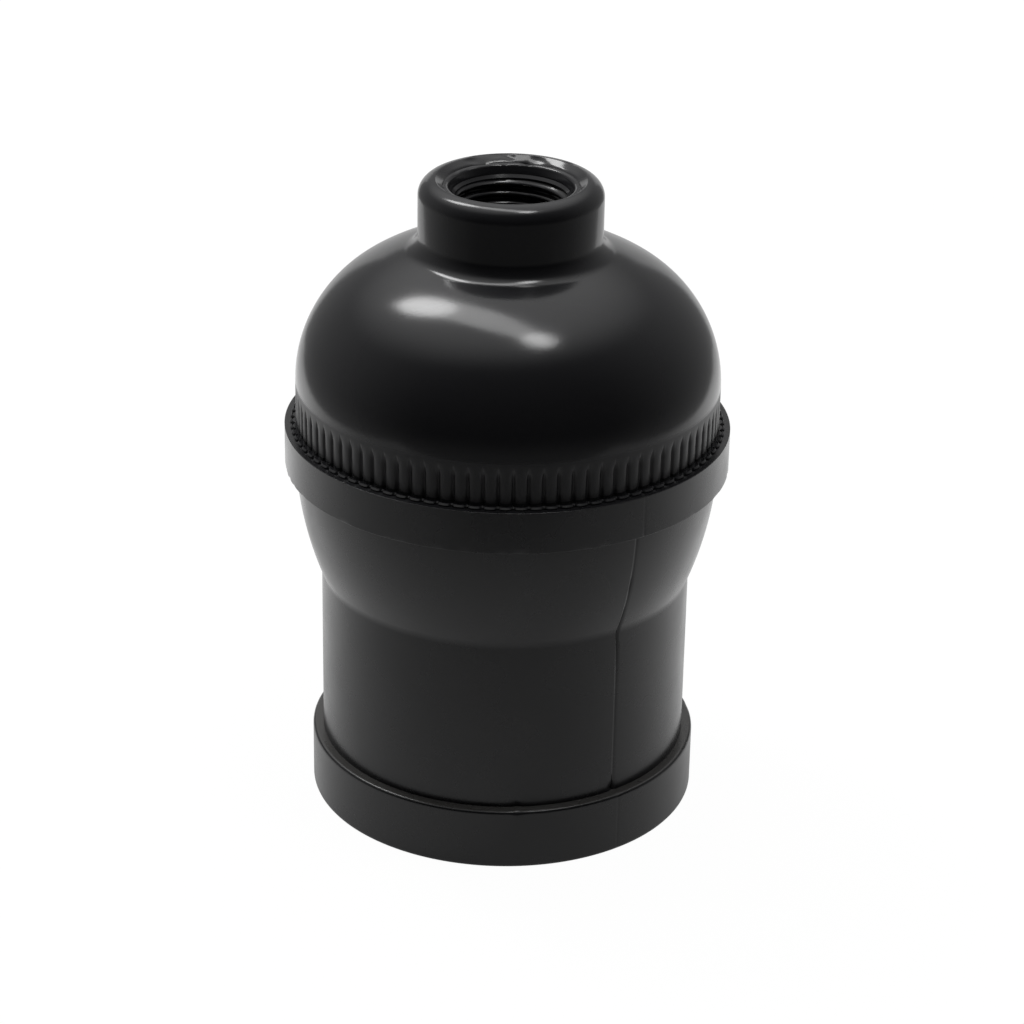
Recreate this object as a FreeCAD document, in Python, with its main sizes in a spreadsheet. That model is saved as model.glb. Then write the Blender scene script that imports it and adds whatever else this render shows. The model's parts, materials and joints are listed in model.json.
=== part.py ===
"""Medium-screw pendant lamp holder: two phenolic mouldings that screw together, and the metal inside them.

Origin: centre of the mouth's rim. +Z runs up the axis to the threaded neck. Millimetres and degrees.
"""
import FreeCAD
import Part
import Sketcher

import math
import os
import re

# ---- driving dimensions -------------------------------------------------------------------------------------

SIZES = {
    # rolled screw shell, for a medium Edison screw cap
    "thread_pitch": 3.629,
    "thread_root_radius": 13.3,
    "thread_depth": 1.05,
    "thread_end_length": 2.6,
    "shell_wall": 0.35,
    "shell_clearance": 0.4,
    "shell_hole_radius": 9.2,
    "shell_mouth_gap": 0.3,
    # lower moulding
    "mouth_step": 0.35,
    "mouth_depth": 6.0,
    "mouth_chamfer": 0.4,
    "barrel_wall": 2.6,
    "flange_lip": 0.95,
    "flange_height": 5.7,
    "flange_chamfer": 0.3,
    "barrel_height": 16.0,
    "shoulder_height": 10.4,
    "shoulder_bulge": 0.45,
    "collar_height": 3.76,
    "collar_lip": 0.95,
    "collar_wall": 2.95,
    "pocket_step": 2.85,
    "pocket_depth": 5.06,
    "web_thickness": 3.4,
    "barrier_thickness": 1.6,
    "barrier_length": 26.0,
    "barrier_height": 3.4,
    "seat_depth": 0.4,
    "seat_clearance": 0.15,
    # cap moulding
    "skirt_clearance": 0.3,
    "skirt_wall": 1.6,
    "skirt_gap": 1.2,
    "cap_setback": 1.0,
    "foot_lip": 0.45,
    "foot_slope": 0.5,
    "band_height": 4.04,
    "rib_count": 92,
    "groove_depth": 0.5,
    "groove_width": 0.5,
    "groove_margin": 0.5,
    "groove_runout": 0.8,
    "dome_low_radius": 12.0,
    "dome_turn": 55.6,
    "dome_high_radius": 16.28,
    "dome_wall": 3.0,
    "chamber_rise": 2.5,
    "chamber_turn": 72.0,
    "neck_radius": 8.1,
    "neck_fillet": 1.75,
    "neck_length": 4.89,
    "neck_round": 1.5,
    "neck_bore_radius": 4.69,
    "countersink_depth": 1.75,
    # terminals, screws and rivets
    "plate_thickness": 1.0,
    "plate_half_width": 3.4,
    "plate_gap": 0.9,
    "line_plate_turn": 62.0,
    "neutral_plate_turn": 120.0,
    "line_rivet_offset": 4.9,
    "screw_radius": 1.7,
    "screw_thread_clearance": 0.05,
    "screw_hole_clearance": 0.3,
    "screw_length": 2.8,
    "screw_head_radius": 3.5,
    "screw_head_height": 1.7,
    "screw_head_crown": 0.5,
    "screw_slot_width": 0.9,
    "screw_slot_depth": 1.0,
    "rivet_radius": 1.1,
    "rivet_clearance": 0.03,
    "rivet_head_radius": 1.6,
    "rivet_head_height": 0.7,
    "rivet_wall_gap": 0.2,
    # centre contact
    "contact_thickness": 0.4,
    "contact_width": 5.0,
    "contact_root_length": 4.4,
    "contact_root_overhang": 2.0,
    "contact_fold_radius": 0.75,
    "contact_drop": 4.0,
    "contact_tip_radius": 2.0,
    "contact_curl": 1.7,
}

# ---- places worked out from them ----------------------------------------------------------------------------

PLACES = {
    "socket_height": "flange_height + barrel_height + shoulder_height + collar_height",
    "deck_level": "socket_height - pocket_depth",
    "web_level": "deck_level - web_thickness",
    "shell_radius": "thread_root_radius + shell_wall",
    "bore_radius": "shell_radius + shell_clearance",
    "mouth_radius": "bore_radius + mouth_step",
    "barrel_radius": "bore_radius + barrel_wall",
    "flange_radius": "barrel_radius + flange_lip",
    "shoulder_level": "flange_height + barrel_height",
    "collar_level": "shoulder_level + shoulder_height",
    "pocket_radius": "bore_radius + pocket_step",
    "collar_radius": "pocket_radius + collar_wall",
    "shoulder_radius": "collar_radius - collar_lip",
    "shoulder_chord": "sqrt((shoulder_radius - barrel_radius)^2 + shoulder_height^2)",
    "shoulder_curve": "(shoulder_chord^2 / 4 + shoulder_bulge^2) / (2 * shoulder_bulge)",
    "skirt_radius": "pocket_radius - skirt_clearance",
    "skirt_inner": "skirt_radius - skirt_wall",
    "skirt_level": "deck_level + skirt_gap",
    "band_radius": "collar_radius - cap_setback",
    "foot_radius": "band_radius + foot_lip",
    "band_level": "socket_height + band_height",
    "low_across": "band_radius - dome_low_radius",
    "high_across": "low_across - (dome_high_radius - dome_low_radius) * cos(dome_turn)",
    "high_level": "band_level - (dome_high_radius - dome_low_radius) * sin(dome_turn)",
    "fillet_across": "neck_radius + neck_fillet",
    "fillet_reach": "dome_high_radius + neck_fillet",
    "fillet_rise": "sqrt(fillet_reach^2 - (fillet_across - high_across)^2)",
    "fillet_level": "high_level + fillet_rise",
    "neck_top": "fillet_level + neck_length",
    "ceiling_level": "high_level + (dome_high_radius - dome_wall) * sin(chamber_turn)",
    "ceiling_radius": "high_across + (dome_high_radius - dome_wall) * cos(chamber_turn)",
    "groove_top": "band_level - groove_margin",
    "plate_level": "deck_level - seat_depth",
    "plate_top": "plate_level + plate_thickness",
    "plate_length": "screw_head_radius + rivet_head_radius + plate_gap",
    "tapped_radius": "screw_radius + screw_thread_clearance",
    "screw_hole_radius": "screw_radius + screw_hole_clearance",
    "screw_hole_depth": "screw_length - plate_thickness + screw_hole_clearance",
    "rivet_hole_radius": "rivet_radius + rivet_clearance",
    "shell_inner": "thread_root_radius - thread_depth / 2",
    "shell_rivet_offset": "shell_inner - rivet_head_radius - rivet_wall_gap",
    "line_screw_across": "line_rivet_offset + plate_length * cos(line_plate_turn)",
    "line_screw_along": "-(plate_length * sin(line_plate_turn))",
    "neutral_screw_across": "-(shell_rivet_offset + plate_length * cos(neutral_plate_turn))",
    "neutral_screw_along": "plate_length * sin(neutral_plate_turn)",
    "contact_level": "web_level - contact_thickness / 2",
    "contact_root_start": "line_rivet_offset - contact_root_length + contact_root_overhang",
    "contact_fold_across": "line_rivet_offset + contact_root_overhang",
    "contact_tip_level": "web_level - contact_drop + contact_thickness / 2",
}

SHELL_SIDES = 24          # flats round the rolled shell
LEVELS_PER_TURN = 5       # steps of the thread's wave in one pitch
SEWING = 1e-6             # gap that still counts as closed


def spelled_out(text):
    """The same expression with every worked-out place replaced by the driving dimensions behind it."""
    names = re.compile(r"\b(" + "|".join(PLACES) + r")\b")
    while names.search(text):
        text = names.sub(lambda found: "(" + PLACES[found.group(1)] + ")", text)
    return re.sub(r"\b(" + "|".join(SIZES) + r")\b", r"Sizes.\1", text)


def size(text):
    """The number that an expression stands for."""
    return float(sheet.evalExpression(spelled_out(text)))


def bind(item, prop, text):
    item.setExpression(prop, spelled_out(text))


# ---- document -----------------------------------------------------------------------------------------------

doc = FreeCAD.newDocument("lamp_holder")
sheet = doc.addObject("Spreadsheet::Sheet", "Sizes")
for row, (name, number) in enumerate(SIZES.items(), start=1):
    sheet.set(f"A{row}", name)
    sheet.set(f"B{row}", str(number))
    sheet.setAlias(f"B{row}", name)
doc.recompute()

pieces = []


def new_body(name):
    body = doc.addObject("PartDesign::Body", name)
    body.Label = name
    pieces.append(body)
    return body


def move_to(piece, across="0", along="0", level="0", turn="0"):
    """Place a piece that was drawn about its own axis."""
    bind(piece, ".Placement.Base.x", across)
    bind(piece, ".Placement.Base.y", along)
    bind(piece, ".Placement.Base.z", level)
    piece.Placement.Rotation = FreeCAD.Rotation(FreeCAD.Vector(0, 0, 1), 1)
    bind(piece, ".Placement.Rotation.Angle", turn)


def new_sketch(body, name, role, across="0", along="0", level="0"):
    """A sketch on one of the body's own origin planes, shifted in that plane's own frame."""
    sketch = body.newObject("Sketcher::SketchObject", name)
    plane = next(item for item in body.Origin.OriginFeatures if item.Role == role)
    sketch.AttachmentSupport = [(plane, "")]
    sketch.MapMode = "FlatFace"
    for axis, text in zip("xyz", (across, along, level)):
        if text != "0":
            bind(sketch, f".AttachmentOffset.Base.{axis}", text)
    return sketch


def hold(sketch, kind, *where_and_size):
    """A dimension whose value follows an expression."""
    *where, text = where_and_size
    index = sketch.addConstraint(Sketcher.Constraint(kind, *where, size(text)))
    name = f"held_{index}"
    sketch.renameConstraint(index, name)
    bind(sketch, f"Constraints.{name}", text)


def hold_point(sketch, geometry, end, across, up):
    """Fix an outline's corner by its two distances from the origin, or on an axis where one is zero."""
    for text, kind, axis in ((across, "DistanceX", -2), (up, "DistanceY", -1)):
        if text == "0":
            sketch.addConstraint(Sketcher.Constraint("PointOnObject", geometry, end, axis))
        else:
            hold(sketch, kind, -1, 1, geometry, end, text)


def arc_between(start, finish, radius):
    """The shorter arc from start to finish; a positive radius bends it to the left of the way, like a left turn."""
    chord = finish - start
    to_centre = math.sqrt(radius ** 2 - (chord.Length / 2) ** 2)
    side = FreeCAD.Vector(-chord.y, chord.x, 0).normalize() * math.copysign(to_centre, radius)
    centre = (start + finish) / 2 + side
    middle = centre - side.normalize() * abs(radius)
    return Part.Arc(start, middle, finish)


def outline(sketch, corners):
    """A closed profile; each corner is (across, up), or (across, up, radius) where an arc leads to the next one."""
    points = [FreeCAD.Vector(size(corner[0]), size(corner[1]), 0) for corner in corners]
    ends = []
    for index, corner in enumerate(corners):
        start = points[index]
        finish = points[(index + 1) % len(points)]
        if len(corner) == 2:
            geometry = sketch.addGeometry(Part.LineSegment(start, finish), False)
            ends.append((geometry, 1, 2))
        else:
            turn = size(corner[2])
            geometry = sketch.addGeometry(arc_between(start, finish, turn), False)
            ends.append((geometry, 1, 2) if turn > 0 else (geometry, 2, 1))
    for index, (geometry, first, last) in enumerate(ends):
        following, its_first, _ = ends[(index + 1) % len(ends)]
        sketch.addConstraint(Sketcher.Constraint("Coincident", geometry, last, following, its_first))
        hold_point(sketch, geometry, first, corners[index][0], corners[index][1])
        if len(corners[index]) == 3:
            hold(sketch, "Radius", geometry, corners[index][2].lstrip("-"))


def revolve(body, name, sketch):
    turned = body.newObject("PartDesign::Revolution", name)
    turned.Profile = sketch
    turned.ReferenceAxis = (sketch, ["V_Axis"])
    turned.Angle = 360
    return turned


def circle(sketch, radius):
    geometry = sketch.addGeometry(Part.Circle(FreeCAD.Vector(), FreeCAD.Vector(0, 0, 1), size(radius)), False)
    sketch.addConstraint(Sketcher.Constraint("Coincident", geometry, 3, -1, 1))
    hold(sketch, "Radius", geometry, radius)


def link(sketch, length, half_width):
    """A strip with full round ends: one end about the origin, the other further along the sketch's first axis."""
    reach = size(length)
    half = size(half_width)
    across = FreeCAD.Vector(0, half, 0)
    far = FreeCAD.Vector(reach, 0, 0)
    near_end = sketch.addGeometry(Part.Arc(across, FreeCAD.Vector(-half, 0, 0), -across), False)
    low_side = sketch.addGeometry(Part.LineSegment(-across, far - across), False)
    far_end = sketch.addGeometry(Part.Arc(far - across, far + FreeCAD.Vector(half, 0, 0), far + across), False)
    high_side = sketch.addGeometry(Part.LineSegment(far + across, across), False)
    for first, first_end, second, second_end in (
        (near_end, 2, low_side, 1),
        (low_side, 2, far_end, 1),
        (far_end, 2, high_side, 1),
        (high_side, 2, near_end, 1),
    ):
        sketch.addConstraint(Sketcher.Constraint("Tangent", first, first_end, second, second_end))
    sketch.addConstraint(Sketcher.Constraint("Coincident", near_end, 3, -1, 1))
    sketch.addConstraint(Sketcher.Constraint("PointOnObject", far_end, 3, -1))
    hold(sketch, "DistanceX", -1, 1, far_end, 3, length)
    hold(sketch, "Radius", near_end, half_width)


def rectangle(sketch, width, height):
    """A rectangle centred on the sketch's origin."""
    wide = size(width) / 2
    high = size(height) / 2
    corners = [FreeCAD.Vector(x * wide, y * high, 0) for x, y in ((-1, -1), (1, -1), (1, 1), (-1, 1))]
    sides = [
        sketch.addGeometry(Part.LineSegment(corners[index], corners[(index + 1) % 4]), False) for index in range(4)
    ]
    for index, side in enumerate(sides):
        sketch.addConstraint(Sketcher.Constraint("Coincident", side, 2, sides[(index + 1) % 4], 1))
        sketch.addConstraint(Sketcher.Constraint("Vertical" if index % 2 else "Horizontal", side))
    sketch.addConstraint(Sketcher.Constraint("Symmetric", sides[0], 1, sides[2], 1, -1, 1))
    hold(sketch, "DistanceX", sides[0], 1, sides[0], 2, width)
    hold(sketch, "DistanceY", sides[1], 1, sides[1], 2, height)


def pad(body, name, sketch, length):
    raised = body.newObject("PartDesign::Pad", name)
    raised.Profile = sketch
    bind(raised, "Length", length)
    return raised


def pocket(body, name, sketch, depth):
    """A cut from the sketch downwards."""
    cut = body.newObject("PartDesign::Pocket", name)
    cut.Profile = sketch
    bind(cut, "Length", depth)
    return cut


def drill(body, name, radius, depth, across, along, level):
    """A round hole down from a level."""
    sketch = new_sketch(body, name + "_place", "XY_Plane", across, along, level)
    circle(sketch, radius)
    return pocket(body, name, sketch, depth)


# ---- lower moulding -----------------------------------------------------------------------------------------


def make_socket_body():
    """Mouth flange, barrel, flared shoulder and collar in one phenolic moulding, with the web that carries the metal."""
    body = new_body("socket_body")
    profile = new_sketch(body, "socket_profile", "XZ_Plane")
    outline(profile, [
        ("mouth_radius + mouth_chamfer", "0"),
        ("flange_radius - flange_chamfer", "0"),
        ("flange_radius", "flange_chamfer"),
        ("flange_radius", "flange_height - flange_chamfer"),
        ("flange_radius - flange_chamfer", "flange_height"),
        ("barrel_radius", "flange_height"),
        ("barrel_radius", "shoulder_level", "shoulder_curve"),
        ("shoulder_radius", "collar_level"),
        ("collar_radius", "collar_level"),
        ("collar_radius", "socket_height"),
        ("pocket_radius", "socket_height"),
        ("pocket_radius", "deck_level"),
        ("0", "deck_level"),
        ("0", "web_level"),
        ("bore_radius", "web_level"),
        ("bore_radius", "mouth_depth"),
        ("mouth_radius", "mouth_depth"),
        ("mouth_radius", "mouth_chamfer"),
    ])
    revolve(body, "socket_turned", profile)

    barrier = new_sketch(body, "barrier_outline", "XY_Plane", level="deck_level")
    rectangle(barrier, "barrier_thickness", "barrier_length")
    pad(body, "barrier", barrier, "barrier_height")

    # each terminal plate lies in a shallow seat that keeps it from turning
    for side, across, turn in (
        ("line", "line_rivet_offset", "-line_plate_turn"),
        ("neutral", "-(shell_rivet_offset)", "180 - neutral_plate_turn"),
    ):
        seat = new_sketch(body, side + "_seat_outline", "XY_Plane", across, "0", "deck_level")
        seat.AttachmentOffset = FreeCAD.Placement(
            seat.AttachmentOffset.Base, FreeCAD.Rotation(FreeCAD.Vector(0, 0, 1), 1)
        )
        bind(seat, ".AttachmentOffset.Rotation.Angle", turn)
        link(seat, "plate_length", "plate_half_width + seat_clearance")
        pocket(body, side + "_seat", seat, "seat_depth")

    through = "web_thickness"
    drill(body, "line_rivet_hole", "rivet_hole_radius", through, "line_rivet_offset", "0", "deck_level")
    drill(body, "neutral_rivet_hole", "rivet_hole_radius", through, "-(shell_rivet_offset)", "0", "deck_level")
    drill(body, "shell_rivet_hole", "rivet_hole_radius", through, "shell_rivet_offset", "0", "deck_level")
    drill(body, "line_screw_hole", "screw_hole_radius", "screw_hole_depth",
          "line_screw_across", "line_screw_along", "plate_level")
    drill(body, "neutral_screw_hole", "screw_hole_radius", "screw_hole_depth",
          "neutral_screw_across", "neutral_screw_along", "plate_level")


# ---- cap moulding -------------------------------------------------------------------------------------------


def make_cap():
    """Threaded neck, dome, ribbed grip band and the skirt that screws into the collar, in one phenolic moulding."""
    body = new_body("cap")
    profile = new_sketch(body, "cap_profile", "XZ_Plane")
    outline(profile, [
        ("skirt_inner", "skirt_level"),
        ("skirt_radius", "skirt_level"),
        ("skirt_radius", "socket_height"),
        ("foot_radius", "socket_height"),
        ("band_radius", "socket_height + foot_slope"),
        ("band_radius", "band_level", "dome_low_radius"),
        ("low_across + dome_low_radius * cos(dome_turn)", "band_level + dome_low_radius * sin(dome_turn)",
         "dome_high_radius"),
        ("high_across + (fillet_across - high_across) * dome_high_radius / fillet_reach",
         "high_level + fillet_rise * dome_high_radius / fillet_reach", "-neck_fillet"),
        ("neck_radius", "fillet_level"),
        ("neck_radius", "neck_top - neck_round", "neck_round"),
        ("neck_radius - neck_round", "neck_top"),
        ("neck_bore_radius", "neck_top - countersink_depth"),
        ("neck_bore_radius", "ceiling_level"),
        ("ceiling_radius", "ceiling_level"),
        ("low_across + (dome_low_radius - dome_wall) * cos(dome_turn)",
         "band_level + (dome_low_radius - dome_wall) * sin(dome_turn)"),
        ("skirt_inner", "band_level + chamber_rise"),
    ])
    revolve(body, "cap_turned", profile)

    # one grip groove, cut up from the foot and running out just under the dome
    sections = []
    for name, level, floor_across in (
        ("foot", "socket_height", "band_radius - groove_depth"),
        ("high", "groove_top - groove_runout", "band_radius - groove_depth"),
        ("runout", "groove_top", "band_radius"),
    ):
        sketch = new_sketch(body, f"groove_{name}", "XY_Plane", level=level)
        groove_section(sketch, floor_across)
        sections.append(sketch)
    groove = body.newObject("PartDesign::SubtractiveLoft", "groove")
    groove.Profile = sections[0]
    groove.Sections = sections[1:]
    groove.Ruled = True
    ribs = body.newObject("PartDesign::PolarPattern", "ribs")
    ribs.Originals = [groove]
    ribs.Axis = (profile, ["V_Axis"])
    ribs.Angle = 360
    bind(ribs, "Occurrences", "rib_count")
    body.Tip = ribs


def groove_section(sketch, floor_across):
    """A vee across the sketch's first axis, as wide as the groove one depth above its floor."""
    reach = f"({floor_across}) + 3 * groove_depth"
    width = "3 * groove_width"
    floor = FreeCAD.Vector(size(floor_across), 0, 0)
    far = size(reach)
    half = size(width) / 2
    corners = [floor, FreeCAD.Vector(far, -half, 0), FreeCAD.Vector(far, half, 0)]
    sides = [
        sketch.addGeometry(Part.LineSegment(corners[index], corners[(index + 1) % 3]), False) for index in range(3)
    ]
    for index, side in enumerate(sides):
        sketch.addConstraint(Sketcher.Constraint("Coincident", side, 2, sides[(index + 1) % 3], 1))
    sketch.addConstraint(Sketcher.Constraint("PointOnObject", sides[0], 1, -1))
    sketch.addConstraint(Sketcher.Constraint("Symmetric", sides[1], 1, sides[1], 2, -1))
    hold(sketch, "DistanceX", -1, 1, sides[0], 1, floor_across)
    hold(sketch, "DistanceX", -1, 1, sides[0], 2, reach)
    hold(sketch, "DistanceY", sides[1], 1, sides[1], 2, width)


# ---- rolled screw shell -------------------------------------------------------------------------------------


def thread_ring(radius, level, swing, turn):
    """One level of the rolled thread: a many-sided ring whose centre has stepped aside from the axis."""
    centre = FreeCAD.Vector(swing * math.cos(turn), swing * math.sin(turn), level)
    corners = []
    for side in range(SHELL_SIDES + 1):
        angle = 2 * math.pi * side / SHELL_SIDES
        corners.append(centre + FreeCAD.Vector(radius * math.cos(angle), radius * math.sin(angle), 0))
    return Part.makePolygon(corners)


def rolled_tube(radius, low, high):
    """A rolled thread is a ring that walks once round the axis in each pitch, with a plain stretch at both ends."""
    plain = size("thread_end_length")
    pitch = size("thread_pitch")
    swing = size("thread_depth") / 2
    start = size("mouth_depth + shell_mouth_gap") + plain
    steps = int((size("web_level") - plain - start) / pitch * LEVELS_PER_TURN)
    rings = [thread_ring(radius, low, 0, 0), thread_ring(radius, start - plain / 2, 0, 0)]
    for step in range(steps + 1):
        turn = 2 * math.pi * step / LEVELS_PER_TURN
        rings.append(thread_ring(radius, start + pitch * step / LEVELS_PER_TURN, swing, turn))
    rings.append(thread_ring(radius, size("web_level") - plain / 2, 0, 0))
    rings.append(thread_ring(radius, high, 0, 0))
    return rings, Part.makeLoft(rings, False, True)


def make_screw_shell():
    """Thin rolled brass cup, closed by a turned-in ring that the rivets hold to the web."""
    wall = size("shell_wall")
    middle = size("shell_inner")
    low = size("mouth_depth + shell_mouth_gap")
    high = size("web_level")
    outer_rings, outside = rolled_tube(middle + wall, low, high)
    inner_rings, inside = rolled_tube(middle, low, high - wall)
    mouth = Part.Face([outer_rings[0], inner_rings[0]])
    faces = outside.Faces + inside.Faces
    faces += [mouth, Part.Face(outer_rings[-1]), Part.Face(inner_rings[-1])]
    skin = Part.makeShell(faces)
    skin.sewShape()
    solid = Part.makeSolid(skin)
    solid.fix(SEWING, SEWING, SEWING)
    up = FreeCAD.Vector(0, 0, 1)
    hole = Part.makeCylinder(size("shell_hole_radius"), 3 * wall, FreeCAD.Vector(0, 0, high - 2 * wall), up)
    solid = solid.cut(hole)
    for across in (size("shell_rivet_offset"), -size("shell_rivet_offset")):
        place = FreeCAD.Vector(across, 0, high - 2 * wall)
        solid = solid.cut(Part.makeCylinder(size("rivet_hole_radius"), 3 * wall, place, up))
    shell = doc.addObject("Part::Feature", "screw_shell")
    shell.Label = "screw_shell"
    shell.Shape = solid.Solids[0]
    pieces.append(shell)


# ---- metal on the web ---------------------------------------------------------------------------------------


def make_terminal(side, across, turn):
    """Stamped plate in its seat, riveted at one end and tapped for the binding screw at the other."""
    body = new_body(side + "_terminal")
    shape = new_sketch(body, side + "_plate_outline", "XY_Plane")
    link(shape, "plate_length", "plate_half_width")
    pad(body, side + "_plate", shape, "plate_thickness")
    drill(body, side + "_plate_rivet_hole", "rivet_hole_radius", "plate_thickness", "0", "0", "plate_thickness")
    drill(body, side + "_plate_tapping", "tapped_radius", "plate_thickness", "plate_length", "0", "plate_thickness")
    move_to(body, across, "0", "plate_level", turn)


def make_screw(side, across, along):
    """Slotted binding-head screw, drawn with its head's seat at its own origin."""
    body = new_body(side + "_screw")
    profile = new_sketch(body, side + "_screw_profile", "XZ_Plane", along="-(screw_length)")
    outline(profile, [
        ("0", "0"),
        ("screw_radius", "0"),
        ("screw_radius", "screw_length"),
        ("screw_head_radius", "screw_length"),
        ("screw_head_radius", "screw_length + screw_head_height - screw_head_crown"),
        ("screw_head_radius - 2 * screw_head_crown", "screw_length + screw_head_height"),
        ("0", "screw_length + screw_head_height"),
    ])
    revolve(body, side + "_screw_turned", profile)
    slot = new_sketch(body, side + "_slot_outline", "XY_Plane", level="screw_head_height")
    rectangle(slot, "3 * screw_head_radius", "screw_slot_width")
    pocket(body, side + "_slot", slot, "screw_slot_depth")
    move_to(body, across, along, "plate_top")


def make_rivet(name, across, low, high):
    """Round rivet with a flat head at each end, drawn upwards from its lower head's seat."""
    body = new_body(name)
    grip = f"({high}) - ({low})"
    profile = new_sketch(body, name + "_profile", "XZ_Plane", along="-(rivet_head_height)")
    outline(profile, [
        ("0", "0"),
        ("rivet_head_radius", "0"),
        ("rivet_head_radius", "rivet_head_height"),
        ("rivet_radius", "rivet_head_height"),
        ("rivet_radius", f"rivet_head_height + {grip}"),
        ("rivet_head_radius", f"rivet_head_height + {grip}"),
        ("rivet_head_radius", f"2 * rivet_head_height + {grip}"),
        ("0", f"2 * rivet_head_height + {grip}"),
    ])
    revolve(body, name + "_turned", profile)
    move_to(body, across, "0", low)


def make_centre_contact():
    """Bronze leaf folded back under its riveted root, with a rounded tip on the axis."""
    body = new_body("centre_contact")
    path = new_sketch(body, "contact_path", "XZ_Plane")
    root_start = FreeCAD.Vector(size("contact_root_start"), size("contact_level"), 0)
    root_end = FreeCAD.Vector(size("contact_fold_across"), size("contact_level"), 0)
    fold = size("contact_fold_radius")
    tip = size("contact_tip_radius")
    fold_centre = root_end - FreeCAD.Vector(0, fold, 0)
    tip_centre = FreeCAD.Vector(0, size("contact_tip_level") + tip, 0)
    # the leg is the inner tangent's neighbour: both arcs lie on its upper side, so it leans by this angle
    span = fold_centre - tip_centre
    lean = math.atan2(span.y, span.x) - math.asin((fold - tip) / span.Length)
    down = FreeCAD.Vector(math.sin(lean), -math.cos(lean), 0)
    leg_start = fold_centre + down * fold
    leg_end = tip_centre + down * tip
    curl = -size("contact_curl")
    tip_end = tip_centre + FreeCAD.Vector(curl, -math.sqrt(tip ** 2 - curl ** 2), 0)
    root = path.addGeometry(Part.LineSegment(root_start, root_end), False)
    bend = path.addGeometry(Part.Arc(leg_start, fold_centre + FreeCAD.Vector(fold, 0, 0), root_end), False)
    leg = path.addGeometry(Part.LineSegment(leg_start, leg_end), False)
    nose = path.addGeometry(Part.Arc(tip_end, tip_centre - FreeCAD.Vector(0, tip, 0), leg_end), False)
    path.addConstraint(Sketcher.Constraint("Tangent", root, 2, bend, 2))
    path.addConstraint(Sketcher.Constraint("Tangent", bend, 1, leg, 1))
    path.addConstraint(Sketcher.Constraint("Tangent", leg, 2, nose, 2))
    path.addConstraint(Sketcher.Constraint("Horizontal", root))
    path.addConstraint(Sketcher.Constraint("PointOnObject", nose, 3, -2))
    hold(path, "DistanceX", -1, 1, root, 1, "contact_root_start")
    hold(path, "DistanceX", -1, 1, root, 2, "contact_fold_across")
    hold(path, "DistanceY", -1, 1, root, 1, "contact_level")
    hold(path, "Radius", bend, "contact_fold_radius")
    hold(path, "Radius", nose, "contact_tip_radius")
    hold(path, "DistanceY", -1, 1, nose, 3, "contact_tip_level + contact_tip_radius")
    hold(path, "DistanceX", nose, 1, nose, 3, "contact_curl")
    section = new_sketch(body, "contact_section", "YZ_Plane", along="contact_level", level="contact_root_start")
    rectangle(section, "contact_width", "contact_thickness")
    strip = body.newObject("PartDesign::AdditivePipe", "contact_strip")
    strip.Profile = section
    strip.Spine = (path, [])
    hole = new_sketch(body, "contact_hole", "XY_Plane", "line_rivet_offset", "0", "web_level")
    circle(hole, "rivet_hole_radius")
    pocket(body, "contact_rivet_hole", hole, "2 * contact_thickness")


make_socket_body()
make_cap()
make_screw_shell()
make_centre_contact()
make_terminal("line", "line_rivet_offset", "-line_plate_turn")
make_terminal("neutral", "-(shell_rivet_offset)", "180 - neutral_plate_turn")
make_screw("line", "line_screw_across", "line_screw_along")
make_screw("neutral", "neutral_screw_across", "neutral_screw_along")
make_rivet("line_rivet", "line_rivet_offset", "web_level - contact_thickness", "plate_top")
make_rivet("neutral_rivet", "-(shell_rivet_offset)", "web_level - shell_wall", "plate_top")
make_rivet("shell_rivet", "shell_rivet_offset", "web_level - shell_wall", "deck_level")
doc.recompute()

# ---- checks and files ---------------------------------------------------------------------------------------

failed = [item.Name for item in doc.Objects if {"Invalid", "Error"} & set(item.State)]
if failed:
    raise SystemExit(f"failed to build: {', '.join(failed)}")
os.makedirs("parts", exist_ok=True)
for piece in pieces:
    shape = piece.Shape
    if shape.isNull() or not shape.isValid() or len(shape.Solids) != 1:
        raise SystemExit(f"{piece.Label} is not one valid solid")
for piece in pieces:
    piece.Shape.exportStep(f"parts/{piece.Label}.step")
    print(f"{piece.Label}: {piece.Shape.Volume:.1f} mm3, {len(piece.Shape.Faces)} faces")
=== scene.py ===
"""A pendant lamp holder, piece by piece in the order it is put together. A section works in millimetres
until its piece is finished, and the finished piece is in metres, in the frame's own place."""
import json
import math

import bmesh
import bpy
from mathutils import Matrix, Vector, noise


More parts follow.
